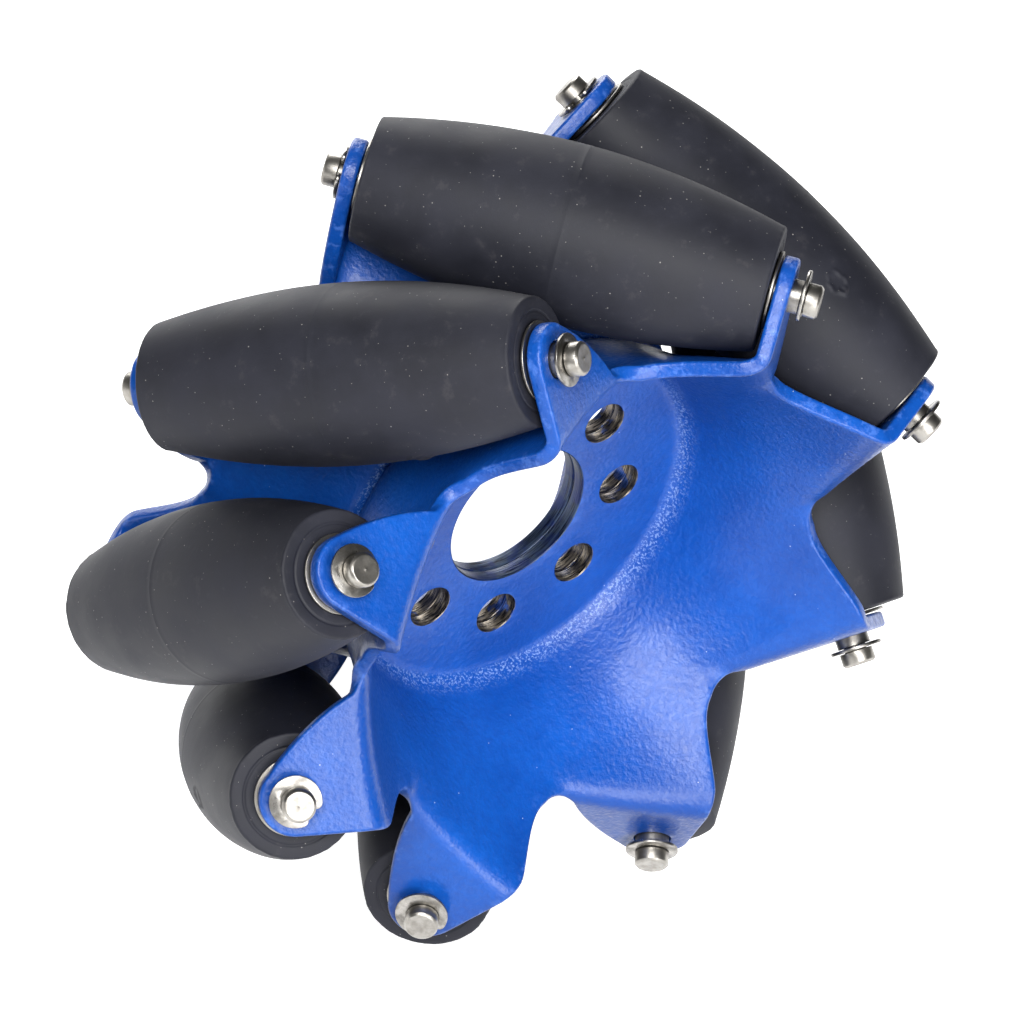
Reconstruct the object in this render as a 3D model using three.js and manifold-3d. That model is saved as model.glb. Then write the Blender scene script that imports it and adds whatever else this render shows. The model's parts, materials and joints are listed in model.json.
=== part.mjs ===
// Mecanum wheel: two pressed sheet dishes, back to back, carry eight free rollers on fixed axles.
// Frame: the wheel's axis is Y with the front towards -Y, +Z is up and the origin is the wheel's centre.
// Millimetres throughout.
import * as THREE from 'three';
import { mergeVertices } from 'three/addons/utils/BufferGeometryUtils.js';
import { ParametricGeometry } from 'three/addons/geometries/ParametricGeometry.js';
import Module from 'manifold-3d';

// Wheel
const ROLLERS = 8;
const WHEEL_RADIUS = 76.2;
const AXLE_CIRCLE_RADIUS = 60.4;
const TILT = THREE.MathUtils.degToRad(42);

// Flat flange in the middle of each dish
const SHEET = 2.75;
const FLANGE_FACE = 2.8;
const FLANGE_RADIUS = 34.2;
const BORE_RADIUS = 14;
const BOLT_CIRCLE_RADIUS = 22.2;
const BOLT_HOLE_RADIUS = 4;

// Wall of the bowl around it, and the notches between the ears
const NOTCH_RADIUS = 47.2;
const NOTCH_HEIGHT = 26.6;
const WALL_SLOPE = 1.63;
const WALL_FLARE = 0.051;
const WALL_CROWN = 0.007;
const WALL_RADIUS = 37;
const BASE_BEND = 5;
const NOTCH_FADE_START = THREE.MathUtils.degToRad(-39);
const NOTCH_FADE_END = THREE.MathUtils.degToRad(-46);

// Ears that hold the axles
const EAR_FACE = 40.1;
const EAR_BEND = 7;
const EAR_TIP_RADIUS = 6.5;
const EAR_HOLE_RADIUS = 3.3;
const EAR_EDGE_ANGLE = THREE.MathUtils.degToRad(47);
const EAR_EDGE_LENGTH = 12.5;
const CORNER_REACH = 2;
const WAIST_INSET = 0.55;
const WAIST_RISE = 7;
const EAR_BULGE = 0.8;
const BULGE_REACH = 6;

// Foot of an ear's slanted edge, and the pulls of the curve from there, all from the bottom of the notch
const NOTCH_FOOT = [-13, 5.8];
const NOTCH_PULLS = [[-8.5, 4], [-4.5, 0.2]];

// Rollers
const ROLLER_HALF_LENGTH = 36.3;
const CORE_RADIUS = 6;
const CORE_BORE_RADIUS = 3.4;
const BOND_GAP = 0.2;

// Axles, clips and thrust washers
const AXLE_RADIUS = 3;
const AXLE_LENGTH = 89;
const AXLE_SHIFT = 0.8;
const GROOVE_RADIUS = 2;
const GROOVE_OFFSET = 41.5;
const GROOVE_WIDTH = 0.9;
const CLIP_RADIUS = 4.65;
const CLIP_BORE_RADIUS = 2.15;
const CLIP_MOUTH = THREE.MathUtils.degToRad(38);
const CLIP_THICKNESS = 0.6;
const CLIP_TURN = 3;
const CLIP_TURN_STEP = -1.05;
const WASHER_RADIUS = 7;
const WASHER_BORE_RADIUS = 3.3;
const WASHER_THICKNESS = 0.5;
const WASHER_OFFSET = 36.8;

// Fineness of the solids
const RIM_STEPS = [3, 2, 4, 1, 3, 5];
const RIM_MARGIN = 2;
const AFTER_BEND = 4;
const CUTTER_LENGTH = 20;
const RUBBER_BANDS = 6;
const RUBBER_SIDES = 16;
const CORE_SIDES = 8;
const WASHER_SIDES = 12;
const AXLE_SIDES = 8;
const HOLE_SIDES = 12;
const CLIP_STEPS = 3;

const SECTOR = (2 * Math.PI) / ROLLERS;

const wasm = await Module();
wasm.setup();

const paint = new THREE.MeshStandardMaterial({ color: 0x1f5fd6, roughness: 0.42, metalness: 0 });
const rubber = new THREE.MeshStandardMaterial({ color: 0x2b2e33, roughness: 0.85, metalness: 0 });
const nylon = new THREE.MeshStandardMaterial({ color: 0x1c1d20, roughness: 0.6, metalness: 0 });
const stainless = new THREE.MeshStandardMaterial({ color: 0xb9bbbd, roughness: 0.28, metalness: 1 });
const springSteel = new THREE.MeshStandardMaterial({ color: 0x9fa1a3, roughness: 0.35, metalness: 1 });

function toSolid(geometry) {
  const bare = geometry.clone();
  bare.deleteAttribute('normal');
  bare.deleteAttribute('uv');
  const merged = mergeVertices(bare, 1e-4);
  const vertProperties = new Float32Array(merged.attributes.position.array);
  const triVerts = new Uint32Array(merged.index.array);
  return new wasm.Manifold(new wasm.Mesh({ numProp: 3, vertProperties, triVerts }));
}

function toGeometry(solid) {
  const mesh = solid.getMesh();
  const geometry = new THREE.BufferGeometry();
  geometry.setAttribute('position', new THREE.BufferAttribute(mesh.vertProperties, 3));
  geometry.setIndex(new THREE.BufferAttribute(mesh.triVerts, 1));
  geometry.computeVertexNormals();
  return geometry;
}

// Places a child's own Y axis on the axle of one roller, with the roller's middle at the origin.
function axleFrame(index) {
  return new THREE.Matrix4()
    .makeRotationY(index * SECTOR)
    .multiply(new THREE.Matrix4().makeTranslation(0, 0, AXLE_CIRCLE_RADIUS))
    .multiply(new THREE.Matrix4().makeRotationZ(TILT));
}

// --- Dish -------------------------------------------------------------------------------------
// The front face of the sheet is a height over the wheel's plane. A place in it has an angle,
// counted anticlockwise from the centre of a roller as seen from the front, and a radius.

function smoothMin(a, b, width) {
  const share = THREE.MathUtils.clamp(0.5 + (0.5 * (b - a)) / width, 0, 1);
  return THREE.MathUtils.lerp(b, a, share) - width * share * (1 - share);
}

function wallHeight(radius) {
  const inside = Math.max(0, NOTCH_RADIUS - radius);
  const straight = NOTCH_HEIGHT + WALL_SLOPE * (radius - NOTCH_RADIUS);
  const wall = straight + WALL_FLARE * inside ** 2 - WALL_CROWN * inside ** 3;
  return -smoothMin(-wall, -FLANGE_FACE, BASE_BEND);
}

// The plane of an ear stands square to the axle that it holds.
function earHeight(angle, radius) {
  const across = radius * Math.sin(angle);
  return EAR_FACE / Math.cos(TILT) + across * Math.tan(TILT);
}

// The bend into an ear dies out past the notch before it.
function formedHeight(angle, radius) {
  const wall = wallHeight(radius);
  const bent = smoothMin(wall, earHeight(angle, radius), EAR_BEND);
  const fade = THREE.MathUtils.smoothstep(angle, NOTCH_FADE_END, NOTCH_FADE_START);
  return THREE.MathUtils.lerp(wall, bent, fade);
}

function facePoint(angle, radius) {
  const height = Math.min(formedHeight(angle, radius), formedHeight(angle - SECTOR, radius));
  return new THREE.Vector3(-radius * Math.sin(angle), -height, radius * Math.cos(angle));
}

function faceNormal(angle, radius) {
  const step = 0.01;
  const turn = step / radius;
  const outward = facePoint(angle, radius + step).sub(facePoint(angle, radius - step));
  const along = facePoint(angle + turn, radius).sub(facePoint(angle - turn, radius));
  return outward.cross(along).normalize();
}

// The rim over one sector, from notch to notch, seen along the wheel's axis with the roller's
// radius as the y axis and anticlockwise as the x axis.
function rimPath() {
  const squash = Math.cos(TILT);
  const axle = new THREE.Vector2(-EAR_FACE * Math.sin(TILT), AXLE_CIRCLE_RADIUS);
  const straightX = axle.x - EAR_TIP_RADIUS * squash;
  const slantX = axle.x + EAR_TIP_RADIUS * Math.sin(EAR_EDGE_ANGLE) * squash;
  const slantY = axle.y + EAR_TIP_RADIUS * Math.cos(EAR_EDGE_ANGLE);
  const slantDX = Math.cos(EAR_EDGE_ANGLE) * squash;
  const slantDY = -Math.sin(EAR_EDGE_ANGLE);
  const startX = -NOTCH_RADIUS * Math.sin(SECTOR);
  const startY = NOTCH_RADIUS * Math.cos(SECTOR);
  const cornerLength = EAR_EDGE_LENGTH + CORNER_REACH;
  const waistX = straightX + WAIST_INSET;
  const waistY = startY + WAIST_RISE;
  const bulgeX = straightX - EAR_BULGE;
  const [foot, ...pulls] = [NOTCH_FOOT, ...NOTCH_PULLS].map(([x, y]) => [x, NOTCH_RADIUS + y]);

  const path = new THREE.Path();
  path.moveTo(startX, startY);
  path.quadraticCurveTo(waistX, startY + waistX - startX, waistX, waistY);
  path.bezierCurveTo(bulgeX, waistY + BULGE_REACH, bulgeX, axle.y - BULGE_REACH, straightX, axle.y);
  path.absellipse(
    axle.x,
    axle.y,
    EAR_TIP_RADIUS * squash,
    EAR_TIP_RADIUS,
    Math.PI,
    Math.PI / 2 - EAR_EDGE_ANGLE,
    true,
  );
  path.lineTo(slantX + EAR_EDGE_LENGTH * slantDX, slantY + EAR_EDGE_LENGTH * slantDY);
  path.quadraticCurveTo(slantX + cornerLength * slantDX, slantY + cornerLength * slantDY, ...foot);
  path.bezierCurveTo(...pulls[0], ...pulls[1], 0, NOTCH_RADIUS);
  return path;
}

function rimPoints() {
  const points = [];
  rimPath().curves.forEach((curve, index) => {
    points.push(...curve.getPoints(RIM_STEPS[index]).slice(0, -1));
  });
  return points.map((point) => ({ angle: Math.atan2(point.x, point.y), radius: point.length() }));
}

// Radii from the bore to the rim, close together where the sheet bends.
function sectionRadii({ angle, radius: rimRadius }) {
  const rise = EAR_FACE / Math.cos(TILT) - NOTCH_HEIGHT + WALL_SLOPE * NOTCH_RADIUS;
  const crease = rise / (WALL_SLOPE - Math.sin(angle) * Math.tan(TILT));
  const bend = Math.min(crease, rimRadius - RIM_MARGIN);
  const halfway = (WALL_RADIUS + bend) / 2;
  const afterBend = Math.min(bend + AFTER_BEND, (bend + rimRadius) / 2);
  return [BORE_RADIUS, FLANGE_RADIUS, WALL_RADIUS, halfway, bend, afterBend, rimRadius];
}

function cutter(radius) {
  return new THREE.CylinderGeometry(radius, radius, CUTTER_LENGTH, HOLE_SIDES);
}

// A closed section runs out behind the sheet, round the rim and back in over the front face.
function dishGeometry() {
  const rim = rimPoints();
  const sections = rim.map(sectionRadii);
  const columns = rim.length * ROLLERS;
  const rows = 2 * sections[0].length;
  const surface = (u, v, target) => {
    const column = Math.round(u * columns) % columns;
    const row = Math.round(v * rows) % rows;
    const place = column % rim.length;
    const { angle } = rim[place];
    const onBack = row < rows / 2;
    const radius = sections[place][onBack ? row : rows - 1 - row];
    target.copy(facePoint(angle, radius));
    if (onBack) target.addScaledVector(faceNormal(angle, radius), -SHEET);
    target.applyAxisAngle(new THREE.Vector3(0, 1, 0), -Math.floor(column / rim.length) * SECTOR);
  };
  let dish = toSolid(new ParametricGeometry(surface, columns, rows));

  const boltCutter = cutter(BOLT_HOLE_RADIUS).translate(0, 0, BOLT_CIRCLE_RADIUS);
  const axleCutter = cutter(EAR_HOLE_RADIUS).translate(0, -EAR_FACE, 0);
  for (let index = 0; index < ROLLERS; index += 1) {
    dish = dish.subtract(toSolid(boltCutter.clone().rotateY(index * SECTOR)));
    dish = dish.subtract(toSolid(axleCutter.clone().applyMatrix4(axleFrame(index))));
  }
  return toGeometry(dish);
}

// --- Turned pieces, each round its own Y axis -----------------------------------------------------

function turned(points, sides) {
  return new THREE.LatheGeometry(points.map(([radius, y]) => new THREE.Vector2(radius, y)), sides);
}

function ring(outer, inner, halfLength, sides) {
  const corners = [[inner, -halfLength], [outer, -halfLength], [outer, halfLength], [inner, halfLength]];
  return turned([...corners, corners[0]], sides);
}

// The barrel follows the cylinder that the whole wheel rolls on.
function barrelRadius(along) {
  return WHEEL_RADIUS - Math.hypot(AXLE_CIRCLE_RADIUS, along * Math.sin(TILT));
}

function rubberGeometry() {
  const bore = CORE_RADIUS + BOND_GAP;
  const points = [[bore, -ROLLER_HALF_LENGTH]];
  for (let band = 0; band <= RUBBER_BANDS; band += 1) {
    const along = ROLLER_HALF_LENGTH * ((2 * band) / RUBBER_BANDS - 1);
    points.push([barrelRadius(along), along]);
  }
  points.push([bore, ROLLER_HALF_LENGTH], points[0]);
  return turned(points, RUBBER_SIDES);
}

function axleGeometry() {
  const half = AXLE_LENGTH / 2;
  const outerGroove = GROOVE_OFFSET + GROOVE_WIDTH / 2;
  const innerGroove = GROOVE_OFFSET - GROOVE_WIDTH / 2;
  const end = [
    [0, half],
    [AXLE_RADIUS, half],
    [AXLE_RADIUS, outerGroove],
    [GROOVE_RADIUS, outerGroove],
    [GROOVE_RADIUS, innerGroove],
    [AXLE_RADIUS, innerGroove],
  ];
  const otherEnd = end.map(([radius, y]) => [radius, -y]);
  return turned([...otherEnd, ...end.reverse()], AXLE_SIDES);
}

// An open clip whose outer edge is centred a little away from its mouth.
function clipGeometry() {
  const shape = new THREE.Shape();
  const middle = (CLIP_RADIUS + CLIP_BORE_RADIUS) / 2;
  const half = (CLIP_RADIUS - CLIP_BORE_RADIUS) / 2;
  shape.absarc(0, 0, CLIP_RADIUS, CLIP_MOUTH, 2 * Math.PI - CLIP_MOUTH, false);
  const endAngle = -CLIP_MOUTH;
  shape.absarc(
    middle * Math.cos(endAngle),
    middle * Math.sin(endAngle),
    half,
    endAngle,
    endAngle + Math.PI,
    false,
  );
  shape.absarc(0, 0, CLIP_BORE_RADIUS, 2 * Math.PI - CLIP_MOUTH, CLIP_MOUTH, true);
  shape.absarc(
    middle * Math.cos(CLIP_MOUTH),
    middle * Math.sin(CLIP_MOUTH),
    half,
    CLIP_MOUTH + Math.PI,
    CLIP_MOUTH + 2 * Math.PI,
    false,
  );
  const settings = { depth: CLIP_THICKNESS, bevelEnabled: false, curveSegments: CLIP_STEPS };
  const geometry = new THREE.ExtrudeGeometry(shape, settings);
  geometry.translate(0, 0, -CLIP_THICKNESS / 2);
  geometry.rotateX(Math.PI / 2);
  return geometry;
}

// --- Assembly -----------------------------------------------------------------------------------

const wheel = new THREE.Group();

function add(parent, name, geometry, material, y = 0) {
  const mesh = new THREE.Mesh(geometry, material);
  mesh.name = name;
  mesh.position.y = y;
  parent.add(mesh);
  return mesh;
}

const dish = dishGeometry();
add(wheel, 'front_dish', dish, paint);
add(wheel, 'back_dish', dish, paint).rotation.z = Math.PI;

const rubberSleeve = rubberGeometry();
const coreTube = ring(CORE_RADIUS, CORE_BORE_RADIUS, ROLLER_HALF_LENGTH, CORE_SIDES);
const axlePin = axleGeometry();
const clip = clipGeometry();
const washer = ring(WASHER_RADIUS, WASHER_BORE_RADIUS, WASHER_THICKNESS / 2, WASHER_SIDES);

for (let index = 0; index < ROLLERS; index += 1) {
  const number = index + 1;
  const station = new THREE.Group();
  station.applyMatrix4(axleFrame(index));
  wheel.add(station);
  add(station, `roller_${number}_rubber`, rubberSleeve, rubber);
  add(station, `roller_${number}_core`, coreTube, nylon);
  add(station, `axle_${number}`, axlePin, stainless, -AXLE_SHIFT);
  for (const [place, side] of [['front', -1], ['back', 1]]) {
    const clipPlace = side * GROOVE_OFFSET - AXLE_SHIFT;
    const clipMesh = add(station, `clip_${number}_${place}`, clip, springSteel, clipPlace);
    clipMesh.rotation.y = CLIP_TURN + CLIP_TURN_STEP * index + side;
    add(station, `washer_${number}_${place}`, washer, stainless, side * WASHER_OFFSET);
  }
}

export default wheel;
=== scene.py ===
"""Mecanum wheel: fine surfaces, materials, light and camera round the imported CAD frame.

Lengths are in millimetres in the shape functions and turned into metres by MM where meshes are made.
The wheel's axis is Y with the front towards -Y, and +Z is up through the middle of roller 1.
"""
import json
import math

import bpy
import numpy as np
from mathutils import Matrix, Vector, geometry, noise


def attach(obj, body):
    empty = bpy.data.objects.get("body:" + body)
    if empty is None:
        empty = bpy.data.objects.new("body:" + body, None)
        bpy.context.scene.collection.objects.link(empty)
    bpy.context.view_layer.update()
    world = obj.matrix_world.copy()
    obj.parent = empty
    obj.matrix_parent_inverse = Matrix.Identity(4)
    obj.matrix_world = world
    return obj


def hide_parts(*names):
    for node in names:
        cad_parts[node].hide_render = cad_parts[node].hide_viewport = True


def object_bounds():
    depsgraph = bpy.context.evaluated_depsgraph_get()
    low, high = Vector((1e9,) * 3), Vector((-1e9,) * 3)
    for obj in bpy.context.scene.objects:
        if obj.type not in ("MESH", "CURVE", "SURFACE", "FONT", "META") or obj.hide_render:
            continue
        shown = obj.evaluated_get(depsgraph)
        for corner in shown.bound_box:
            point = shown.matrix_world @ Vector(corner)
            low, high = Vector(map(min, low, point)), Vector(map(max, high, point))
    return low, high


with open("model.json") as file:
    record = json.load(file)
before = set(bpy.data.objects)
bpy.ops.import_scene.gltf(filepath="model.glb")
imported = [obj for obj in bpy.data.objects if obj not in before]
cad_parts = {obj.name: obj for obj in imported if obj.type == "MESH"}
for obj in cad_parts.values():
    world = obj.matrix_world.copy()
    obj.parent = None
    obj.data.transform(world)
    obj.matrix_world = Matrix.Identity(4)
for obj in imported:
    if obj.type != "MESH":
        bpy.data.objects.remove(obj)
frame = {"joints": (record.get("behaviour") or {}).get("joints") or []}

CAD_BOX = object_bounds()

MM = 0.001
ROLLERS = 8
SECTOR = math.tau / ROLLERS

# Wheel
WHEEL_RADIUS = 76.2
AXLE_CIRCLE_RADIUS = 60.4
TILT = math.radians(42)

# Flange of each dish
SHEET = 2.75
FLANGE_FACE = 2.8
BORE_RADIUS = 14
BOLT_CIRCLE_RADIUS = 22.2
BOLT_HOLE_RADIUS = 4

# Wall of the bowl and the notches between the ears
NOTCH_RADIUS = 47.2
NOTCH_HEIGHT = 26.6
WALL_SLOPE = 1.63
WALL_FLARE = 0.051
WALL_CROWN = 0.007
BASE_BEND = 5
NOTCH_FADE_START = math.radians(-39)
NOTCH_FADE_END = math.radians(-46)

# Ears
EAR_FACE = 40.1
EAR_BEND = 7
EAR_TIP_RADIUS = 6.5
EAR_HOLE_RADIUS = 3.3
EAR_EDGE_ANGLE = math.radians(47)
EAR_EDGE_LENGTH = 12.5
CORNER_REACH = 2
WAIST_INSET = 0.55
WAIST_RISE = 7
EAR_BULGE = 0.8
BULGE_REACH = 6

# Foot of the slanted edge, and the pulls of the curve from there, all from the bottom of the notch
NOTCH_FOOT = (-13, 5.8)
NOTCH_PULLS = ((-8.5, 4), (-4.5, 0.2))

# Rounding that the paint leaves on the edges of the sheet
RIM_ROUNDING = 0.6
HOLE_ROUNDING = 0.3
BORE_ROUNDING = 0.35
ROUNDING_STEPS = 4

# Fineness of the dish: steps along the curves of its rim, then spacings of its points
LONG_CURVE_STEPS = 40
SHORT_CURVE_STEPS = 24
CORNER_STEPS = 16
RIM_SPACING = 0.7
HOLE_SPACING = 0.6
FLANGE_SPACING = 2.2
WALL_SPACING = 0.95
WALL_START = 31
CLEARANCE = 0.5
SLOPE_STEP = 0.02
EDGES_AT_ONCE = 200
JOIN_DISTANCE = 1e-7

# How much of the lighter edge colour shows where the face meets an edge, as worn paint and painted edge
# highlight; on the edge itself it is 1
FACE_WEAR_AND_HIGHLIGHT = 0.6

# Rollers
ROLLER_HALF_LENGTH = 36.3
CORE_RADIUS = 6
CORE_BORE_RADIUS = 3.4
BOND_GAP = 0.2
RUBBER_SIDES = 144

# Section of a sleeve: moulding seam round the middle, barrel, rounded corner, groove in the end face
SEAM_HEIGHT = 0.035
SEAM_TOP = 0.12
SEAM_FOOT = 0.3
BARREL_START = 1.2
BARREL_MARGIN = 0.9
BARREL_STEPS = 40
LIP_MARGIN = 0.45
SLEEVE_ROUNDING = 0.55
LIP_RISE = 0.1
END_GROOVE_RADIUS = 8.9
END_GROOVE_DEPTH = 0.16
END_GROOVE_BRIM = 0.02
SLEEVE_CHAMFER = 0.15

# Uneven skin of a sleeve and ragged flash on its end corners: heights, and noise steps per millimetre
SKIN_WANDER = 0.05
SKIN_FINENESS = 0.07
FLASH_HEIGHT = 0.05
FLASH_WANDER = 0.09
FLASH_FINENESS = (0.9, 0.2, 0.9)
FLASH_LENGTH = 1.0
FLASH_DEPTH = 0.5

# Scar on the front half of each sleeve. SCAR_TURN is its place round roller 2, as a share of a turn,
# and each next roller's scar is SCAR_STEP further round.
SCAR_ALONG = 13.5
SCAR_TURN = -58 / 360
SCAR_STEP = 0.31
SCAR_REACH = 4.2
SCAR_SPACING = 0.28
SCAR_WIDTH = 1.7
SCAR_LENGTH = 2.1
SCAR_HEIGHT = 0.42
SCAR_LIP_WIDTH = 0.2
SCAR_PIT_RADIUS = 0.7
SCAR_PIT_DEPTH = 0.12

# Axles, clips and washers
AXLE_RADIUS = 3
AXLE_LENGTH = 89
AXLE_SHIFT = 0.8
GROOVE_RADIUS = 2
GROOVE_OFFSET = 41.5
GROOVE_WIDTH = 0.9
AXLE_CHAMFER = 0.45
CLIP_RADIUS = 4.65
CLIP_BORE_RADIUS = 2.15
CLIP_END_RADIUS = 1.05
CLIP_MOUTH = math.radians(38)
CLIP_THICKNESS = 0.6
CLIP_OFFSET = 0.45
CLIP_TURN = 3.0
CLIP_TURN_STEP = -1.05
WASHER_RADIUS = 7
WASHER_BORE_RADIUS = 3.3
WASHER_THICKNESS = 0.5
WASHER_OFFSET = 36.8
THIN_ROUNDING = 0.12
TURNED_SIDES = 64
TURNED_SHARP_ANGLE = math.radians(35)
CLIP_SHARP_ANGLE = math.radians(40)

# Floor, in metres
FLOOR_REACH = 9.0
FLOOR_GAP = 0.0002
FLOOR_GLOW = 0.75

# Light: the way to the brightest part of the room, and its strength from the dark side to the bright one
BRIGHT_SIDE = (-0.4, -0.55, 0.73)
ROOM_FADE = (-0.7, 0.6)
ROOM_STRENGTH = (0.3, 1.3)

# Area lights: name, place in metres, size in metres and power in watts
LAMPS = (
    ("key", (-1.0, -0.8, 1.4), 1.0, 42),
    ("front", (-0.4, -2.0, 0.75), 1.4, 50),
    ("back", (0.8, 2.0, 0.8), 1.4, 48),
)

# Camera: its distance and clip end are in metres, its lens and sensor in millimetres
CAMERA_AZIMUTH = math.radians(-42.913)
CAMERA_ELEVATION = math.radians(37.303)
CAMERA_ROLL = math.radians(12.33)
CAMERA_DISTANCE = 2.277
CAMERA_TARGET = (0.25, -0.97, -0.72)
CAMERA_LENS = 456.2
CAMERA_SENSOR = 36
CAMERA_CLIP_END = 50


# --- Materials ----------------------------------------------------------------------------------

class Look:
    """One procedural material: short calls that add nodes and link them."""

    def __init__(self, name):
        self.material = bpy.data.materials.new(name)
        self.material.use_nodes = True
        self.tree = self.material.node_tree
        self.shader = self.tree.nodes["Principled BSDF"]
        self.place = self.add("ShaderNodeAttribute", attribute_name="own").outputs["Vector"]

    def add(self, kind, inputs=None, **settings):
        node = self.tree.nodes.new(kind)
        for name, value in settings.items():
            setattr(node, name, value)
        for name, value in (inputs or {}).items():
            self.feed(node.inputs[name], value)
        return node

    def feed(self, socket, value):
        if isinstance(value, bpy.types.NodeSocket):
            self.tree.links.new(value, socket)
        else:
            socket.default_value = value

    def set(self, **values):
        for name, value in values.items():
            self.feed(self.shader.inputs[name.replace("_", " ")], value)

    def noise(self, size, detail=2.0, roughness=0.5, place=None):
        """Noise with features of about the given size in millimetres."""
        inputs = {
            "Vector": place or self.place,
            "Scale": 1 / (size * MM),
            "Detail": detail,
            "Roughness": roughness,
        }
        return self.add("ShaderNodeTexNoise", inputs).outputs["Fac"]

    def specks(self, spacing, radius, share):
        """Scattered dots: one cell in 1 / share has one, with the given radius in millimetres."""
        cells = self.add(
            "ShaderNodeTexVoronoi", {"Vector": self.place, "Scale": 1 / (spacing * MM), "Randomness": 1.0}
        )
        dot = self.ramp(cells.outputs["Distance"], radius / spacing, 0.4 * radius / spacing)
        chosen = self.add("ShaderNodeSeparateColor", {"Color": cells.outputs["Color"]}).outputs["Red"]
        return self.math("MULTIPLY", dot, self.ramp(chosen, share, 0.8 * share))

    def ramp(self, value, low, high, out_low=0.0, out_high=1.0):
        """Maps low..high to out_low..out_high, clamped and smooth; low may be the larger."""
        inputs = {
            "Value": value,
            "From Min": low,
            "From Max": high,
            "To Min": out_low,
            "To Max": out_high,
        }
        made = self.add("ShaderNodeMapRange", inputs, interpolation_type="SMOOTHSTEP")
        return made.outputs["Result"]

    def math(self, operation, first, second=0.0):
        made = self.add("ShaderNodeMath", operation=operation)
        self.feed(made.inputs[0], first)
        self.feed(made.inputs[1], second)
        return made.outputs["Value"]

    def mix(self, share, first, second):
        """Colour between first and second by share."""
        made = self.add("ShaderNodeMix", data_type="RGBA")
        self.feed(made.inputs[0], share)
        self.feed(made.inputs[6], first)
        self.feed(made.inputs[7], second)
        return made.outputs[2]

    def bump(self, height, depth, base=None):
        """Bump of the given depth in millimetres, over another bump if base is given."""
        inputs = {"Height": height, "Distance": depth * MM, "Strength": 1.0}
        if base is not None:
            inputs["Normal"] = base
        return self.add("ShaderNodeBump", inputs).outputs["Normal"]

    def across(self, keep):
        """Distance from an axis: keep is 1 for each coordinate that counts."""
        flat = self.add("ShaderNodeVectorMath", operation="MULTIPLY")
        self.feed(flat.inputs[0], self.place)
        self.feed(flat.inputs[1], keep)
        return self.add(
            "ShaderNodeVectorMath", {0: flat.outputs["Vector"]}, operation="LENGTH"
        ).outputs["Value"]

    def along(self, axis):
        return self.add("ShaderNodeSeparateXYZ", {"Vector": self.place}).outputs[axis]


def colour(red, green, blue):
    """Linear colour from display values of 0 to 255."""
    def linear(value):
        share = value / 255
        return share / 12.92 if share <= 0.04045 else ((share + 0.055) / 1.055) ** 2.4
    return (linear(red), linear(green), linear(blue), 1.0)


def paint_look():
    look = Look("blue_powder_coat")
    broad = look.noise(24, 3)
    fine = look.noise(1.6, 3, 0.6)
    blue = look.mix(look.ramp(broad, 0.35, 0.65), colour(9, 70, 156), colour(14, 83, 176))
    blue = look.mix(look.ramp(fine, 0.3, 0.75, 0.0, 0.35), blue, colour(8, 58, 140))
    # A light, speckled ring is painted where the flange meets the bowl: worn, dusty paint and a painted
    # highlight along the bend; its radii are in metres.
    radius = look.across((1, 0, 1))
    inner = look.ramp(radius, 0.0337, 0.0351)
    outer = look.ramp(radius, 0.0367, 0.0352)
    grain = look.ramp(look.noise(0.45, 2, 0.7), 0.5, 0.62)
    ring = look.math("MULTIPLY", look.math("MULTIPLY", inner, outer), grain)
    blue = look.mix(look.math("MULTIPLY", ring, 0.55), blue, colour(150, 176, 226))
    # Thin paint and small chips show along the edges, in a lighter blue that is also a painted edge
    # highlight on the rounded edges.
    edge = look.add("ShaderNodeAttribute", attribute_name="edge").outputs["Fac"]
    edge_wear_and_highlight = look.math("MULTIPLY", edge, look.ramp(look.noise(2.2, 4, 0.65), 0.52, 0.66))
    blue = look.mix(look.math("MULTIPLY", edge_wear_and_highlight, 0.35), blue, colour(96, 140, 226))
    dust = look.specks(2.4, 0.14, 0.3)
    blue = look.mix(look.math("MULTIPLY", dust, 0.7), blue, colour(205, 215, 235))
    look.set(
        Base_Color=blue,
        Roughness=look.ramp(look.noise(0.9, 2), 0.3, 0.7, 0.3, 0.44),
        Specular_IOR_Level=0.36,
        Coat_Weight=0.14,
        Coat_Roughness=0.16,
    )
    peel = look.bump(look.noise(0.85, 2, 0.5), 0.15)
    peel = look.bump(look.noise(0.42, 1, 0.5), 0.02, peel)
    look.set(Normal=look.bump(look.noise(9, 2), 0.08, peel))
    return look.material


def rubber_look():
    look = Look("rubber")
    shift = look.add("ShaderNodeObjectInfo").outputs["Random"]
    place = look.add("ShaderNodeVectorMath", operation="ADD")
    look.feed(place.inputs[0], look.place)
    look.feed(place.inputs[1], shift)
    look.place = place.outputs["Vector"]
    cloud = look.noise(14, 4, 0.6)
    tone = look.mix(look.ramp(cloud, 0.3, 0.7), colour(25, 26, 34), colour(36, 37, 46))
    grime = look.ramp(look.noise(3.5, 5, 0.7), 0.56, 0.72)
    tone = look.mix(look.math("MULTIPLY", grime, 0.3), tone, colour(66, 64, 66))
    dust = look.math("MAXIMUM", look.specks(1.6, 0.16, 0.35), look.specks(0.9, 0.09, 0.25))
    tone = look.mix(look.math("MULTIPLY", dust, 0.65), tone, colour(168, 164, 160))
    look.set(
        Base_Color=tone,
        Roughness=look.ramp(cloud, 0.3, 0.7, 0.56, 0.68),
        Specular_IOR_Level=0.3,
    )
    grain = look.bump(look.noise(0.28, 2, 0.6), 0.012)
    look.set(Normal=look.bump(look.noise(5, 3), 0.06, grain))
    return look.material


def core_look():
    look = Look("core")
    tone = look.mix(look.ramp(look.noise(2, 3), 0.3, 0.7), colour(26, 27, 30), colour(40, 41, 44))
    look.set(Base_Color=tone, Roughness=look.ramp(look.noise(1), 0.3, 0.7, 0.4, 0.6))
    look.set(Normal=look.bump(look.noise(0.5), 0.01))
    return look.material


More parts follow.
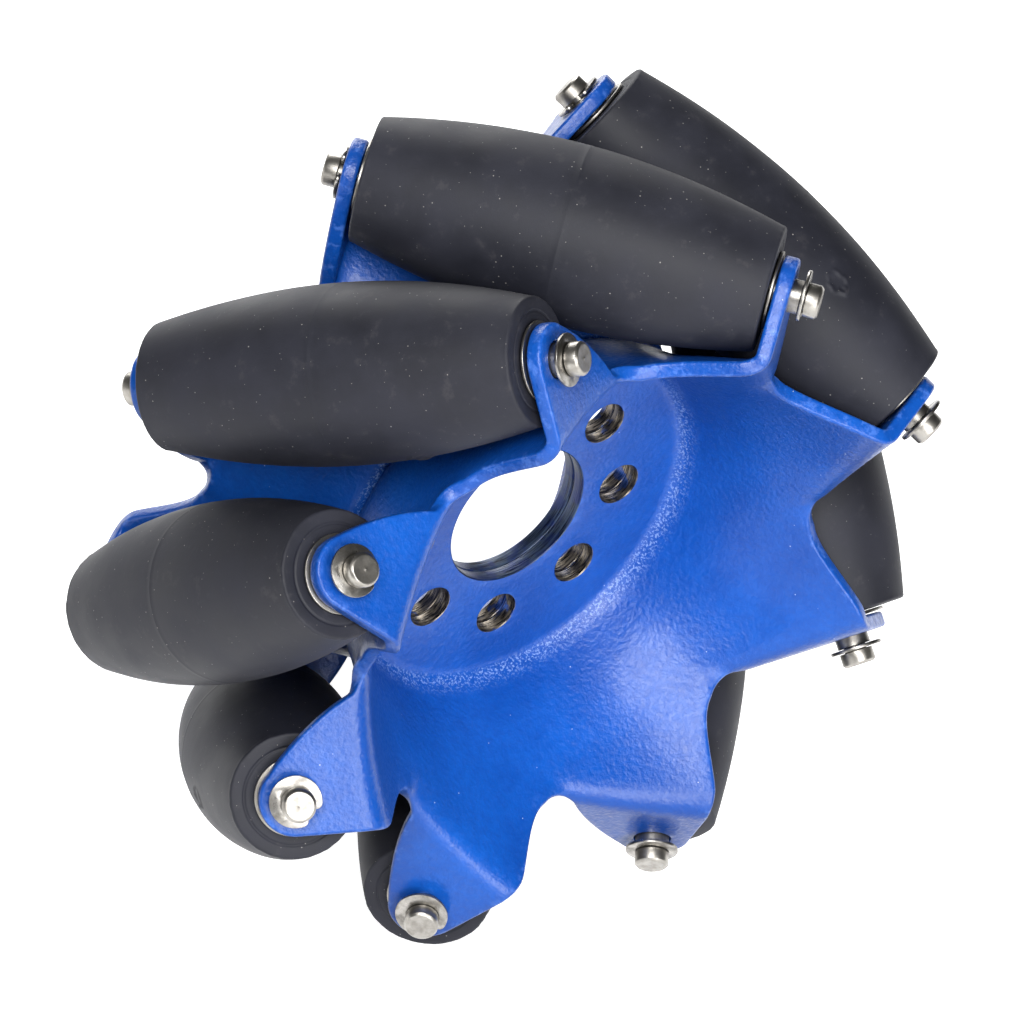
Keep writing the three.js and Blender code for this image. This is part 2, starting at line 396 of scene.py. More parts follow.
def steel_look(name, light, dark, roughness, line_size, line_depth):
    """Turned or rolled steel: fine lines round the piece's own Y axis, stains and handling marks."""
    look = Look(name)
    stain = look.noise(2.4, 4, 0.6)
    tone = look.mix(look.ramp(stain, 0.35, 0.7), light, dark)
    scratch = look.ramp(look.noise(0.7, 4, 0.7), 0.55, 0.7)
    tone = look.mix(look.math("MULTIPLY", scratch, 0.3), tone, dark)
    look.set(
        Base_Color=tone,
        Metallic=1.0,
        Roughness=look.ramp(stain, 0.3, 0.7, roughness, roughness + 0.14),
    )
    lines = look.math("ADD", look.along("Y"), look.across((1, 0, 1)))
    placed = look.add("ShaderNodeCombineXYZ", {"X": lines}).outputs["Vector"]
    turned = look.bump(look.noise(line_size, 2, 0.6, placed), line_depth)
    look.set(Normal=look.bump(look.noise(1.2, 3), 0.01, turned))
    return look.material


def cut_steel_look():
    """Bare wall of a bolt hole: fine lines round the hole, dark navy patches of painted shade and traces
    of paint.
    """
    look = Look("cut_steel")
    layered = look.add("ShaderNodeMapping", {"Vector": look.place, "Scale": (0.12, 1.0, 0.12)})
    line = look.noise(0.3, 3, 0.65, layered.outputs["Vector"])
    tone = look.mix(look.ramp(line, 0.36, 0.64), colour(30, 32, 38), colour(142, 132, 118))
    # Dark navy patches: painted shade on the wall of the hole.
    navy_painted_shade = look.ramp(look.noise(2.6, 3), 0.45, 0.62)
    tone = look.mix(look.math("MULTIPLY", navy_painted_shade, 0.55), tone, colour(24, 34, 62))
    paint = look.ramp(look.noise(5, 3, 0.6), 0.58, 0.64)
    tone = look.mix(look.math("MULTIPLY", paint, 0.7), tone, colour(20, 70, 150))
    look.set(Base_Color=tone, Metallic=0.85, Roughness=look.ramp(line, 0.3, 0.7, 0.24, 0.42))
    look.set(Normal=look.bump(line, 0.05))
    return look.material


def bore_look():
    """Turned wall of the bore: dark layered lines round the axis, with traces of paint and rust."""
    look = Look("bore_steel")
    layered = look.add("ShaderNodeMapping", {"Vector": look.place, "Scale": (0.05, 1.0, 0.05)})
    line = look.noise(0.32, 3, 0.6, layered.outputs["Vector"])
    tone = look.mix(look.ramp(line, 0.35, 0.62), colour(14, 22, 40), colour(70, 86, 108))
    patch = look.ramp(look.noise(4.5, 4, 0.65), 0.42, 0.62)
    tone = look.mix(look.math("MULTIPLY", patch, 0.75), tone, colour(10, 34, 96))
    rust = look.ramp(look.noise(2.4, 4, 0.7), 0.62, 0.74)
    tone = look.mix(look.math("MULTIPLY", rust, 0.4), tone, colour(66, 62, 52))
    look.set(Base_Color=tone, Metallic=0.5, Roughness=look.ramp(line, 0.3, 0.7, 0.26, 0.45))
    look.set(Normal=look.bump(line, 0.06))
    return look.material


# --- Making meshes --------------------------------------------------------------------------------

def make_piece(name, points, faces, materials, matrix=Matrix(), material_numbers=None):
    """A smooth object from faces and its own points in millimetres, put in place by matrix.

    Its own coordinates, in metres, stay in the attribute "own" for the materials.
    """
    own = np.asarray(points, float) * MM
    turn = np.array(matrix)
    mesh = bpy.data.meshes.new(name)
    mesh.from_pydata((own @ turn[:3, :3].T + turn[:3, 3]).tolist(), [], faces)
    mesh.attributes.new("own", "FLOAT_VECTOR", "POINT").data.foreach_set("vector", own.ravel())
    for material in materials:
        mesh.materials.append(material)
    if material_numbers is not None:
        mesh.polygons.foreach_set("material_index", material_numbers)
    mesh.polygons.foreach_set("use_smooth", [True] * len(faces))
    mesh.update()
    piece = bpy.data.objects.new(name, mesh)
    bpy.context.scene.collection.objects.link(piece)
    return piece


def lathe(profile, turns):
    """Points and faces of a closed profile of (radius, y) pairs turned about the Y axis."""
    profile = np.asarray(profile, float)
    count = len(profile)
    sides = len(turns)
    x = profile[None, :, 0] * np.sin(turns)[:, None]
    z = profile[None, :, 0] * np.cos(turns)[:, None]
    y = np.broadcast_to(profile[None, :, 1], x.shape)
    points = np.stack([x, y, z], -1).reshape(-1, 3)
    faces = []
    for side in range(sides):
        here, there = side * count, ((side + 1) % sides) * count
        for step in range(count):
            after = (step + 1) % count
            faces.append((here + step, here + after, there + after, there + step))
    return points, faces


def even_turns(sides):
    return np.linspace(0, math.tau, sides, endpoint=False)


def finer(values, middle, reach, spacing):
    """Sorted values with even ones in place of those within reach of the middle."""
    kept = values[np.abs(values - middle) > reach + 0.5 * spacing]
    return np.sort(np.concatenate([kept, np.arange(middle - reach, middle + reach, spacing)]))


def arc(centre, radius, start, end, steps):
    """Points on an arc round centre; angles in radians, anticlockwise from the first axis."""
    angles = np.linspace(start, end, steps + 1)
    return [(centre[0] + radius * math.cos(a), centre[1] + radius * math.sin(a)) for a in angles]


# --- Dish -----------------------------------------------------------------------------------------
# The front face of the sheet is a height over the wheel's plane. A place in it has an angle,
# counted anticlockwise from the centre of a roller as seen from the front, and a radius.

def smooth_min(a, b, width):
    share = np.clip(0.5 + 0.5 * (b - a) / width, 0, 1)
    return b + (a - b) * share - width * share * (1 - share)


def smooth_step(value, low, high):
    share = np.clip((value - low) / (high - low), 0, 1)
    return share * share * (3 - 2 * share)


def formed_height(angle, radius):
    inside = np.maximum(0, NOTCH_RADIUS - radius)
    wall = NOTCH_HEIGHT + WALL_SLOPE * (radius - NOTCH_RADIUS)
    wall += WALL_FLARE * inside**2 - WALL_CROWN * inside**3
    wall = -smooth_min(-wall, -FLANGE_FACE, BASE_BEND)
    ear = EAR_FACE / math.cos(TILT) + radius * np.sin(angle) * math.tan(TILT)
    bent = smooth_min(wall, ear, EAR_BEND)
    return wall + (bent - wall) * smooth_step(angle, NOTCH_FADE_END, NOTCH_FADE_START)


def face_height(plan):
    """Height of the front face over plan points (x, z)."""
    radius = np.hypot(plan[:, 0], plan[:, 1])
    angle = -np.mod(np.arctan2(plan[:, 0], plan[:, 1]), SECTOR)
    return np.minimum(formed_height(angle, radius), formed_height(angle - SECTOR, radius))


def face_points(plan):
    return np.stack([plan[:, 0], -face_height(plan), plan[:, 1]], 1)


def face_normals(plan):
    """Unit normals of the front face, pointing to the front."""
    slopes = []
    for shift in ((SLOPE_STEP, 0), (0, SLOPE_STEP)):
        rise = face_height(plan + shift) - face_height(plan - np.array(shift))
        slopes.append(rise / (2 * SLOPE_STEP))
    normals = np.stack([-slopes[0], -np.ones(len(plan)), -slopes[1]], 1)
    return normals / np.linalg.norm(normals, axis=1)[:, None]


def bezier(controls, steps):
    """Points on a Bezier curve of any degree, without its last point."""
    share = np.linspace(0, 1, steps, endpoint=False)[:, None]
    degree = len(controls) - 1
    total = np.zeros((steps, 2))
    for place, control in enumerate(controls):
        weight = math.comb(degree, place) * share**place * (1 - share) ** (degree - place)
        total += weight * np.array(control)
    return total


def rim_outline():
    """The rim of one sector, from notch to notch: x anticlockwise, y along the roller's radius."""
    squash = math.cos(TILT)
    axle_x, axle_y = -EAR_FACE * math.sin(TILT), AXLE_CIRCLE_RADIUS
    straight_x = axle_x - EAR_TIP_RADIUS * squash
    start_x = -NOTCH_RADIUS * math.sin(SECTOR)
    start_y = NOTCH_RADIUS * math.cos(SECTOR)
    slant_dx = math.cos(EAR_EDGE_ANGLE) * squash
    slant_dy = -math.sin(EAR_EDGE_ANGLE)
    slant = np.array([
        axle_x + EAR_TIP_RADIUS * math.sin(EAR_EDGE_ANGLE) * squash,
        axle_y + EAR_TIP_RADIUS * math.cos(EAR_EDGE_ANGLE),
    ])
    slant_end = slant + EAR_EDGE_LENGTH * np.array([slant_dx, slant_dy])
    corner = slant + (EAR_EDGE_LENGTH + CORNER_REACH) * np.array([slant_dx, slant_dy])
    foot, *pulls = [(x, NOTCH_RADIUS + y) for x, y in (NOTCH_FOOT, *NOTCH_PULLS)]
    waist = (straight_x + WAIST_INSET, start_y + WAIST_RISE)
    bulge_x = straight_x - EAR_BULGE
    straight_end = (straight_x, axle_y)
    tip_angles = np.linspace(math.pi, math.pi / 2 - EAR_EDGE_ANGLE, LONG_CURVE_STEPS, endpoint=False)
    tip = np.stack([
        axle_x + EAR_TIP_RADIUS * squash * np.cos(tip_angles),
        axle_y + EAR_TIP_RADIUS * np.sin(tip_angles),
    ], 1)
    rise = [(start_x, start_y), (waist[0], start_y + waist[0] - start_x), waist]
    side = [waist, (bulge_x, waist[1] + BULGE_REACH), (bulge_x, axle_y - BULGE_REACH), straight_end]
    return np.concatenate([
        bezier(rise, SHORT_CURVE_STEPS),
        bezier(side, LONG_CURVE_STEPS),
        tip,
        bezier([slant, slant_end], SHORT_CURVE_STEPS),
        bezier([slant_end, corner, foot], CORNER_STEPS),
        bezier([foot, *pulls, (0, NOTCH_RADIUS)], LONG_CURVE_STEPS),
    ])


def evenly(loop, spacing):
    """A closed loop of points cut into even steps."""
    closed = np.vstack([loop, loop[:1]])
    lengths = np.concatenate([[0], np.cumsum(np.linalg.norm(np.diff(closed, axis=0), axis=1))])
    count = max(8, round(lengths[-1] / spacing))
    places = np.linspace(0, lengths[-1], count, endpoint=False)
    return np.stack([np.interp(places, lengths, closed[:, k]) for k in range(2)], 1)


def turned_plan(plan, index):
    """Plan points (x, z) turned clockwise, as seen from the front, by index sectors."""
    cos, sin = math.cos(index * SECTOR), math.sin(index * SECTOR)
    return np.stack([plan[:, 0] * cos + plan[:, 1] * sin, plan[:, 1] * cos - plan[:, 0] * sin], 1)


def inset_rim(outline):
    """The rim moved in over the sheet by the rounding, and the way out of the sheet there."""
    points = face_points(outline)
    along = np.roll(points, -1, axis=0) - np.roll(points, 1, axis=0)
    out = np.cross(face_normals(outline), along)
    out /= np.linalg.norm(out, axis=1)[:, None]
    if np.sum(out * points) < 0:
        out = -out
    inner = points - RIM_ROUNDING * out
    return np.stack([inner[:, 0], inner[:, 2]], 1), out


def circle_plan(centre, radius, count):
    angles = np.linspace(0, math.tau, count, endpoint=False)
    return np.stack([centre[0] + radius * np.cos(angles), centre[1] + radius * np.sin(angles)], 1)


def ear_hole_plan(index, radius, count):
    """Plan points of a circle in the plane of an ear round its axle."""
    angles = np.linspace(0, math.tau, count, endpoint=False)
    x = EAR_FACE * math.sin(TILT) + radius * np.cos(angles) * math.cos(TILT)
    z = AXLE_CIRCLE_RADIUS + radius * np.sin(angles)
    return turned_plan(np.stack([x, z], 1), index)


def dish_loops():
    """Every edge of the sheet: inset plan loop, way out of the sheet, rounding and material."""
    sector = rim_outline()
    whole = np.concatenate([
        turned_plan(np.stack([-sector[:, 0], sector[:, 1]], 1), -index) for index in range(ROLLERS)
    ])
    rim, out = inset_rim(evenly(whole, RIM_SPACING))
    loops = [(rim, out, RIM_ROUNDING, 0)]

    def hole(loop, rounding, material):
        points = face_points(loop)
        out_of = points.mean(axis=0) - points
        normals = face_normals(loop)
        out_of -= np.sum(out_of * normals, axis=1)[:, None] * normals
        out_of /= np.linalg.norm(out_of, axis=1)[:, None]
        loops.append((loop, out_of, rounding, material))

    bore = BORE_RADIUS + BORE_ROUNDING
    hole(circle_plan((0, 0), bore, round(math.tau * bore / HOLE_SPACING)), BORE_ROUNDING, 2)
    wide = BOLT_HOLE_RADIUS + HOLE_ROUNDING
    around = round(math.tau * wide / HOLE_SPACING)
    for index in range(ROLLERS):
        centre = turned_plan(np.array([[0, BOLT_CIRCLE_RADIUS]]), index)[0]
        hole(circle_plan(centre, wide, around), HOLE_ROUNDING, 1)
        hole(ear_hole_plan(index, EAR_HOLE_RADIUS + HOLE_ROUNDING, around), HOLE_ROUNDING, 0)
    return loops


def inner_plan(loops):
    """Plan points on rings between the edges, closer together where the sheet is formed."""
    radii = list(np.arange(BORE_RADIUS + FLANGE_SPACING, WALL_START, FLANGE_SPACING))
    radii += list(np.arange(WALL_START, AXLE_CIRCLE_RADIUS + 2 * EAR_TIP_RADIUS, WALL_SPACING))
    rings = []
    for number, radius in enumerate(radii):
        spacing = FLANGE_SPACING if radius < WALL_START else WALL_SPACING
        count = round(math.tau * radius / spacing)
        ring = circle_plan((0, 0), radius, count)
        rings.append(turned_plan(ring, 0.5 * (number % 2) * ROLLERS / count))
    plan = np.concatenate(rings)
    for loop, *_ in loops[1:]:
        middle = loop.mean(axis=0)
        reach = np.max(np.linalg.norm(loop - middle, axis=1))
        plan = plan[np.linalg.norm(plan - middle, axis=1) > reach]
    edges = np.concatenate([loop for loop, *_ in loops])
    near = np.full(len(plan), np.inf)
    for start in range(0, len(edges), EDGES_AT_ONCE):
        gaps = plan[:, None] - edges[None, start:start + EDGES_AT_ONCE]
        near = np.minimum(near, np.min(np.sum(gaps**2, axis=2), axis=1))
    return plan[near > CLEARANCE**2]


def dish_mesh():
    """Points, faces, material numbers and edge values of one sheet, front face towards -Y."""
    loops = dish_loops()
    plan = np.concatenate([loop for loop, *_ in loops] + [inner_plan(loops)])
    starts = np.cumsum([0] + [len(loop) for loop, *_ in loops])
    edges = []
    owner = np.full(len(plan), -1)
    for number, start in enumerate(starts[:-1]):
        end = starts[number + 1]
        owner[start:end] = number
        edges += [(k, k + 1 if k + 1 < end else start) for k in range(start, end)]
    result = geometry.delaunay_2d_cdt([Vector(p) for p in plan], edges, [], 1, JOIN_DISTANCE)
    flat, triangles, origins = result[0], result[2], result[3]
    source = [orig[0] if orig else -1 for orig in origins]
    if len(flat) != len(plan) or -1 in source:
        raise RuntimeError("the dish's edges cross")
    inside = []
    for face in triangles:
        face = [source[k] for k in face]
        owners = {owner[k] for k in face}
        if len(owners) > 1 or owners <= {-1, 0}:
            inside.append(face)
    used = sorted({k for face in inside for k in face})
    renumbered = {k: number for number, k in enumerate(used)}
    inside = [[renumbered[k] for k in face] for face in inside]
    plan, owner = plan[used], owner[used]

    total = len(plan)
    front = face_points(plan)
    normals = face_normals(plan)
    back = front - SHEET * normals
    points = [front, back]
    edge = [np.where(owner >= 0, FACE_WEAR_AND_HIGHLIGHT, 0.0)] * 2
    faces = []
    for first, second, third in inside:
        a, b, c = plan[first], plan[second], plan[third]
        turn = (b[0] - a[0]) * (c[1] - a[1]) - (b[1] - a[1]) * (c[0] - a[0])
        if turn < 0:
            second, third = third, second
        faces.append((first, second, third))
        faces.append((total + first, total + third, total + second))
    material_numbers = [0] * len(faces)

    made = 2 * total
    for number, (loop, out, rounding, material) in enumerate(loops):
        start, count = starts[number], len(loop)
        rows = [np.arange(start, start + count)]
        turns = np.linspace(0, math.pi / 2, ROUNDING_STEPS + 1)[1:]
        depths = [(rounding * (1 - math.cos(t)), rounding * math.sin(t)) for t in turns]
        depths += [(SHEET - depth, reach) for depth, reach in reversed(depths)]
        for depth, reach in depths:
            points.append(front[start:start + count] - depth * normals[start:start + count] + reach * out)
            rows.append(np.arange(made, made + count))
            edge.append(np.ones(count))
            made += count
        rows.append(np.arange(total + start, total + start + count))
        outward = np.cross(front[start + 1] - front[start], normals[start])
        flip = np.dot(outward, out[0]) > 0
        for step, (upper, lower) in enumerate(zip(rows, rows[1:])):
            wall = material if 0 < step else 0
            for k in range(count):
                after = (k + 1) % count
                quad = (upper[k], upper[after], lower[after], lower[k])
                faces.append(tuple(int(v) for v in (quad[::-1] if flip else quad)))
                material_numbers.append(wall)
    return np.concatenate(points), faces, material_numbers, np.concatenate(edge)


def build_dishes(materials):
    points, faces, material_numbers, edge = dish_mesh()
    half_turn = points * np.array([-1, -1, 1])
    for name, placed in (("front", points), ("back", half_turn)):
        dish = make_piece(
            f"{name}_dish_sheet", placed, faces, materials, material_numbers=material_numbers
        )
        dish.data.attributes.new("edge", "FLOAT", "POINT").data.foreach_set("value", edge)
        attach(dish, "root")
        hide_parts(f"{name}_dish")


# --- Turned pieces ----------------------------------------------------------------------------------

def barrel_radius(along):
    return WHEEL_RADIUS - math.hypot(AXLE_CIRCLE_RADIUS, along * math.sin(TILT))


def rubber_profile():
    """Half of the sleeve's closed section: from its middle out to its end, then in to its bore."""
    end = ROLLER_HALF_LENGTH
    corner_start = end - SLEEVE_ROUNDING
    seam_radius = barrel_radius(0) + SEAM_HEIGHT
    seam = [(seam_radius, 0.0), (seam_radius, SEAM_TOP), (barrel_radius(SEAM_FOOT), SEAM_FOOT)]
    along = np.linspace(BARREL_START, corner_start - BARREL_MARGIN, BARREL_STEPS)
    along = finer(along, SCAR_ALONG, SCAR_REACH, SCAR_SPACING)
    barrel = [(barrel_radius(y), y) for y in along]
    lip_start = corner_start - LIP_MARGIN
    lip = [(barrel_radius(lip_start), lip_start)]
    corner_radius = barrel_radius(end) - SLEEVE_ROUNDING + LIP_RISE
    corner = arc((corner_start, corner_radius), SLEEVE_ROUNDING, math.pi / 2, 0, 6)
    corner = [(radius, y) for y, radius in corner]
    groove = [
        (END_GROOVE_RADIUS + 0.25, end),
        (END_GROOVE_RADIUS + 0.1, end - END_GROOVE_BRIM),
        (END_GROOVE_RADIUS, end - END_GROOVE_DEPTH),
        (END_GROOVE_RADIUS - 0.35, end - END_GROOVE_DEPTH),
        (END_GROOVE_RADIUS - 0.45, end - END_GROOVE_BRIM),
        (END_GROOVE_RADIUS - 0.6, end),
    ]
    bore = CORE_RADIUS + BOND_GAP
    mouth = [(bore + SLEEVE_CHAMFER, end), (bore, end - SLEEVE_CHAMFER)]
    return seam + barrel + lip + corner + groove + mouth


def mirrored(half):
    """A closed section from a half that starts on the middle plane."""
    other = [(radius, -y) for radius, y in reversed(half) if y > 0]
    return half + other


def scar_height(across, along, seed):
    """Torn ring of rubber where the sleeve was cut from its feed, at millimetres from its middle."""
    turn = math.atan2(along, across)
    ring = math.hypot(across / SCAR_WIDTH, along / SCAR_LENGTH)
    ring += 0.22 * noise.noise(Vector((2 * math.cos(turn), 2 * math.sin(turn), seed)))
    torn = 0.6 + 0.9 * noise.noise(Vector((1.3 * math.cos(turn), 1.3 * math.sin(turn), seed + 4.7)))
    lip = math.exp(-(((ring - 1) / SCAR_LIP_WIDTH) ** 2))
    pit = SCAR_PIT_DEPTH * math.exp(-((ring / SCAR_PIT_RADIUS) ** 4))
    return SCAR_HEIGHT * max(0.0, torn) * lip - pit


def rubber_mesh(seed):
    """A sleeve with an uneven skin, ragged end corners and a scar at its own turn; seed is its number."""
    middle = math.tau * ((SCAR_TURN + (seed - 2) * SCAR_STEP) % 1)
    scar_radius = barrel_radius(SCAR_ALONG)
    turns = finer(even_turns(RUBBER_SIDES), middle, SCAR_REACH / scar_radius, SCAR_SPACING / scar_radius)
    points, faces = lathe(mirrored(rubber_profile()), turns)
    end_radius = barrel_radius(ROLLER_HALF_LENGTH)
    radius = np.hypot(points[:, 0], points[:, 2])
    for index in np.nonzero(radius > CORE_RADIUS + 1)[0]:
        x, y, z = points[index]
        spot = (x * SKIN_FINENESS, y * SKIN_FINENESS, z * SKIN_FINENESS + 9.1 * seed)
        grow = SKIN_WANDER * noise.noise(Vector(spot))
        if abs(y) > ROLLER_HALF_LENGTH - FLASH_LENGTH and radius[index] > end_radius - FLASH_DEPTH:
            fine_x, fine_y, fine_z = FLASH_FINENESS
            ragged = noise.noise(Vector((x * fine_x, y * fine_y + 5.3 * seed, z * fine_z)))
            grow += FLASH_HEIGHT + FLASH_WANDER * ragged
        turned = (math.atan2(x, z) - middle + math.pi) % math.tau - math.pi
        across, along = turned * radius[index], y + SCAR_ALONG
        if max(abs(across), abs(along)) < SCAR_REACH:
            grow += scar_height(across, along, seed)
        points[index, 0] += grow * x / radius[index]
        points[index, 2] += grow * z / radius[index]
    return points, faces


def core_profile():
    chamfer = 0.3
    inner, outer, end = CORE_BORE_RADIUS, CORE_RADIUS, ROLLER_HALF_LENGTH
    return mirrored([
        (outer, 0.0),
        (outer, end - chamfer),
        (outer - chamfer, end),
        (inner + chamfer, end),
        (inner, end - chamfer),
        (inner, 0.0),
    ])


def axle_profile():
    half = AXLE_LENGTH / 2
    groove_out = GROOVE_OFFSET + GROOVE_WIDTH / 2
    groove_in = GROOVE_OFFSET - GROOVE_WIDTH / 2
    nick = 0.08
    ease_across, ease_along = 0.04, 0.06
    side = [
        (AXLE_RADIUS, 0.0),
        (AXLE_RADIUS, groove_in - nick),
        (AXLE_RADIUS - nick, groove_in),
        (GROOVE_RADIUS + nick, groove_in),
        (GROOVE_RADIUS, groove_in + nick),
        (GROOVE_RADIUS, groove_out - nick),
        (GROOVE_RADIUS + nick, groove_out),
        (AXLE_RADIUS - nick, groove_out),
        (AXLE_RADIUS, groove_out + nick),
        (AXLE_RADIUS, half - AXLE_CHAMFER),
        (AXLE_RADIUS - ease_across, half - AXLE_CHAMFER + ease_along),
        (AXLE_RADIUS - AXLE_CHAMFER + ease_along, half - ease_across),
        (AXLE_RADIUS - AXLE_CHAMFER, half),
    ]
    # The faced end is a little hollow, with a pip left at its middle.
    hollow_radius, hollow_depth = 2.4, 0.05
    pip_radius, pip_tip_radius, pip_height = 0.22, 0.02, 0.03
    face = [
        (radius, half - hollow_depth * (1 - (radius / hollow_radius) ** 2))
        for radius in (2.3, 1.6, 0.9, 0.45)
    ]
    pip = [(pip_radius, half - pip_height), (pip_tip_radius, half + pip_height)]
    return mirrored(side + face + pip)


def build_turned(name, section, material, matrix):
    points, faces = lathe(section, even_turns(TURNED_SIDES))
    piece = make_piece(name, points, faces, [material], matrix)
    sharpen(piece, TURNED_SHARP_ANGLE)
    return piece


def sharpen(piece, angle):
    """Marks the edges over an angle as sharp, so that flat faces look flat."""
    piece.data.set_sharp_from_angle(angle=angle)


def washer_profile():
    half = WASHER_THICKNESS / 2
    corner_y = half - THIN_ROUNDING
    outer = arc((WASHER_RADIUS - THIN_ROUNDING, corner_y), THIN_ROUNDING, 0, math.pi / 2, 3)
    inner = arc((WASHER_BORE_RADIUS + THIN_ROUNDING, corner_y), THIN_ROUNDING, math.pi / 2, math.pi, 3)
    upper = outer + inner
    return upper + [(radius, -y) for radius, y in reversed(upper)]


def clip_outline():
    """An open ring whose outer edge stands off its bore, with round ends at the mouth along +x."""
    outer_centre = (-CLIP_OFFSET, 0.0)
    reach = CLIP_RADIUS - CLIP_END_RADIUS
    outer_turn = math.asin((CLIP_BORE_RADIUS + CLIP_END_RADIUS) * math.sin(CLIP_MOUTH) / reach)
    end = (outer_centre[0] + reach * math.cos(outer_turn), reach * math.sin(outer_turn))
    outer = arc(outer_centre, CLIP_RADIUS, outer_turn, math.tau - outer_turn, 56)
    lower_end = arc((end[0], -end[1]), CLIP_END_RADIUS, -outer_turn, math.pi - CLIP_MOUTH, 10)
    inner = arc((0, 0), CLIP_BORE_RADIUS, math.tau - CLIP_MOUTH, CLIP_MOUTH, 40)
    upper_end = arc(end, CLIP_END_RADIUS, math.pi + CLIP_MOUTH, math.tau + outer_turn, 10)
    return outer + lower_end[1:] + inner[1:-1] + upper_end[:-1]


def clip_mesh():
    """The clip as a flat stamping in the X-Z plane with its thickness along Y and rounded edges."""
    outline = np.array(clip_outline())
    along = np.roll(outline, -1, axis=0) - np.roll(outline, 1, axis=0)
    out = np.stack([along[:, 1], -along[:, 0]], 1)
    out /= np.linalg.norm(out, axis=1)[:, None]
    half = CLIP_THICKNESS / 2
    eased = 0.3 * THIN_ROUNDING
    rows = []
    for height, inset in (
        (-half, THIN_ROUNDING),
        (-half + eased, eased),
        (-half + THIN_ROUNDING, 0),
        (half - THIN_ROUNDING, 0),
        (half - eased, eased),
        (half, THIN_ROUNDING),
    ):
        ring = outline - inset * out
        rows.append(np.stack([ring[:, 0], np.full(len(ring), height), -ring[:, 1]], 1))
    count = len(outline)
    faces = []
    for row in range(len(rows) - 1):
        for k in range(count):
            after = (k + 1) % count
            base, upper = row * count, (row + 1) * count
            faces.append((base + k, upper + k, upper + after, base + after))
    faces.append(tuple(range(count)))
    faces.append(tuple(reversed(range((len(rows) - 1) * count, len(rows) * count))))
    return np.concatenate(rows), faces


# --- Rollers in place -----------------------------------------------------------------------------

def station(joint):
    """The matrix whose Y axis is the joint's axle and whose origin is its roller's middle."""
    place = Vector(joint["pos_m"])
    outward = place.normalized()
    along = -Vector(joint["axis"]).normalized()
    side = along.cross(outward)
    turn = Matrix((side, along, outward)).transposed()
    return Matrix.Translation(place) @ turn.to_4x4()


def put(piece, body, node):
    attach(piece, body)
    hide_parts(node)


def clip_turn(index, side):
    """Turn of a clip on its axle: each was pushed on its own way."""
    return CLIP_TURN + CLIP_TURN_STEP * index + side


def build_rollers(rubber, core, stainless, spring):
    clip_points, clip_faces = clip_mesh()
    for index, joint in enumerate(frame["joints"]):
        number = index + 1
        place = station(joint)
        body = joint["child"]
        points, faces = rubber_mesh(number)
        sleeve = make_piece(f"roller_{number}_sleeve", points, faces, [rubber], place)
        put(sleeve, body, f"roller_{number}_rubber")
        tube = build_turned(f"roller_{number}_hub_tube", core_profile(), core, place)
        put(tube, body, f"roller_{number}_core")
        pin_place = place @ Matrix.Translation((0, -AXLE_SHIFT * MM, 0))
        pin = build_turned(f"axle_{number}_pin", axle_profile(), stainless, pin_place)
        put(pin, "root", f"axle_{number}")
        for side_name, side in (("front", -1), ("back", 1)):
            clip_place = pin_place @ Matrix.Translation((0, side * GROOVE_OFFSET * MM, 0))
            clip_place = clip_place @ Matrix.Rotation(clip_turn(index, side), 4, "Y")
            clip_name = f"clip_{number}_{side_name}"
            clip = make_piece(f"{clip_name}_ring", clip_points, clip_faces, [spring], clip_place)
            sharpen(clip, CLIP_SHARP_ANGLE)
            put(clip, "root", clip_name)
            washer_place = place @ Matrix.Translation((0, side * WASHER_OFFSET * MM, 0))
            washer_name = f"washer_{number}_{side_name}"
            washer = build_turned(f"{washer_name}_ring", washer_profile(), stainless, washer_place)
            put(washer, "root", washer_name)


# --- Stage ------------------------------------------------------------------------------------------

def build_floor():
    """A white floor that shows in the picture but throws no light up at the wheel."""
    corners = [(x * FLOOR_REACH, y * FLOOR_REACH, 0) for x, y in ((-1, -1), (1, -1), (1, 1), (-1, 1))]
    look = Look("pale_floor")
    tone = look.mix(look.noise(300, 2), colour(246, 246, 246), colour(250, 250, 250))
    look.set(
        Base_Color=tone,
        Roughness=0.9,
        Specular_IOR_Level=0.1,
        Emission_Color=tone,
        Emission_Strength=FLOOR_GLOW,
    )
    mesh = bpy.data.meshes.new("floor")
    mesh.from_pydata(corners, [], [(0, 1, 2, 3)])
    mesh.materials.append(look.material)
    floor = bpy.data.objects.new("floor", mesh)
    floor.location = (0, 0, CAD_BOX[0].z - FLOOR_GAP)
    floor.visible_diffuse = False
    floor.visible_shadow = False
    bpy.context.scene.collection.objects.link(floor)


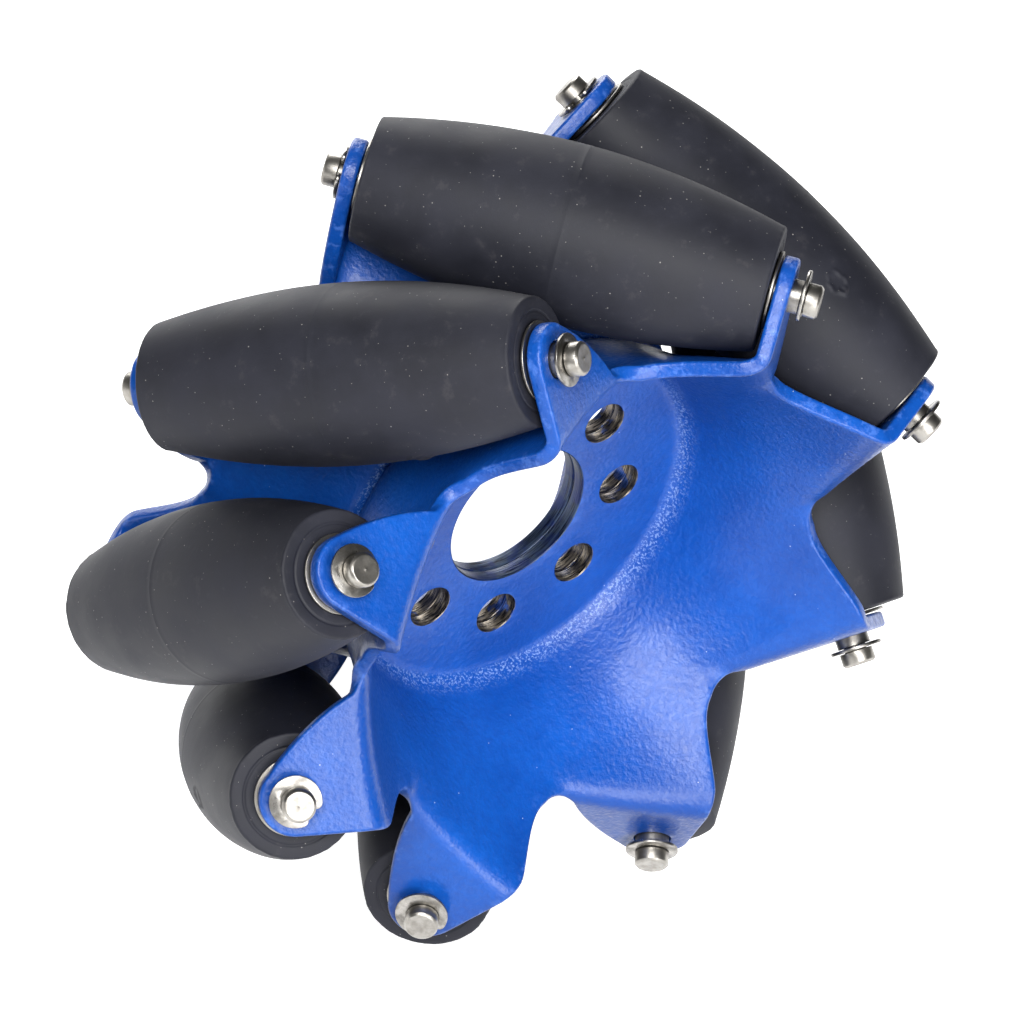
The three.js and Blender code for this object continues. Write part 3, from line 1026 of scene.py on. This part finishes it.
def build_light():
    """A white room, brightest to the upper left, and the area lights."""
    world = bpy.data.worlds.new("studio")
    world.use_nodes = True
    tree = world.node_tree
    background = tree.nodes["Background"]
    place = tree.nodes.new("ShaderNodeTexCoord")
    share = tree.nodes.new("ShaderNodeVectorMath")
    share.operation = "DOT_PRODUCT"
    share.inputs[1].default_value = BRIGHT_SIDE
    fade = tree.nodes.new("ShaderNodeMapRange")
    fade.inputs["From Min"].default_value, fade.inputs["From Max"].default_value = ROOM_FADE
    fade.inputs["To Min"].default_value, fade.inputs["To Max"].default_value = ROOM_STRENGTH
    tree.links.new(place.outputs["Generated"], share.inputs[0])
    tree.links.new(share.outputs["Value"], fade.inputs["Value"])
    tree.links.new(fade.outputs["Result"], background.inputs["Strength"])
    bpy.context.scene.world = world
    for name, place, size, power in LAMPS:
        add_area(name, place, size, power)


def add_area(name, place, size, power):
    lamp = bpy.data.lights.new(name, "AREA")
    lamp.size = size
    lamp.energy = power
    light = bpy.data.objects.new(name, lamp)
    light.location = place
    light.rotation_mode = "QUATERNION"
    light.rotation_quaternion = (-Vector(place)).to_track_quat("-Z", "Y")
    bpy.context.scene.collection.objects.link(light)


def build_camera():
    back = Vector((
        math.sin(CAMERA_AZIMUTH) * math.cos(CAMERA_ELEVATION),
        -math.cos(CAMERA_AZIMUTH) * math.cos(CAMERA_ELEVATION),
        math.sin(CAMERA_ELEVATION),
    ))
    level = (-back).cross(Vector((0, 0, 1))).normalized()
    upright = level.cross(-back)
    right = math.cos(CAMERA_ROLL) * level + math.sin(CAMERA_ROLL) * upright
    up = back.cross(right)
    lens = bpy.data.cameras.new("camera")
    lens.sensor_width = CAMERA_SENSOR
    lens.lens = CAMERA_LENS
    lens.clip_end = CAMERA_CLIP_END
    camera = bpy.data.objects.new("camera", lens)
    place = Vector(CAMERA_TARGET) * MM + CAMERA_DISTANCE * back
    turn = Matrix((right, up, back)).transposed()
    camera.matrix_world = Matrix.Translation(place) @ turn.to_4x4()
    bpy.context.scene.collection.objects.link(camera)
    bpy.context.scene.camera = camera


build_camera()
build_light()
build_floor()
bpy.context.scene.view_settings.view_transform = "Standard"
build_dishes([paint_look(), cut_steel_look(), bore_look()])
stainless = steel_look("stainless", colour(160, 157, 151), colour(130, 126, 120), 0.3, 0.16, 0.004)
spring = steel_look("spring_steel", colour(164, 161, 156), colour(104, 101, 96), 0.26, 0.3, 0.004)
build_rollers(rubber_look(), core_look(), stainless, spring)
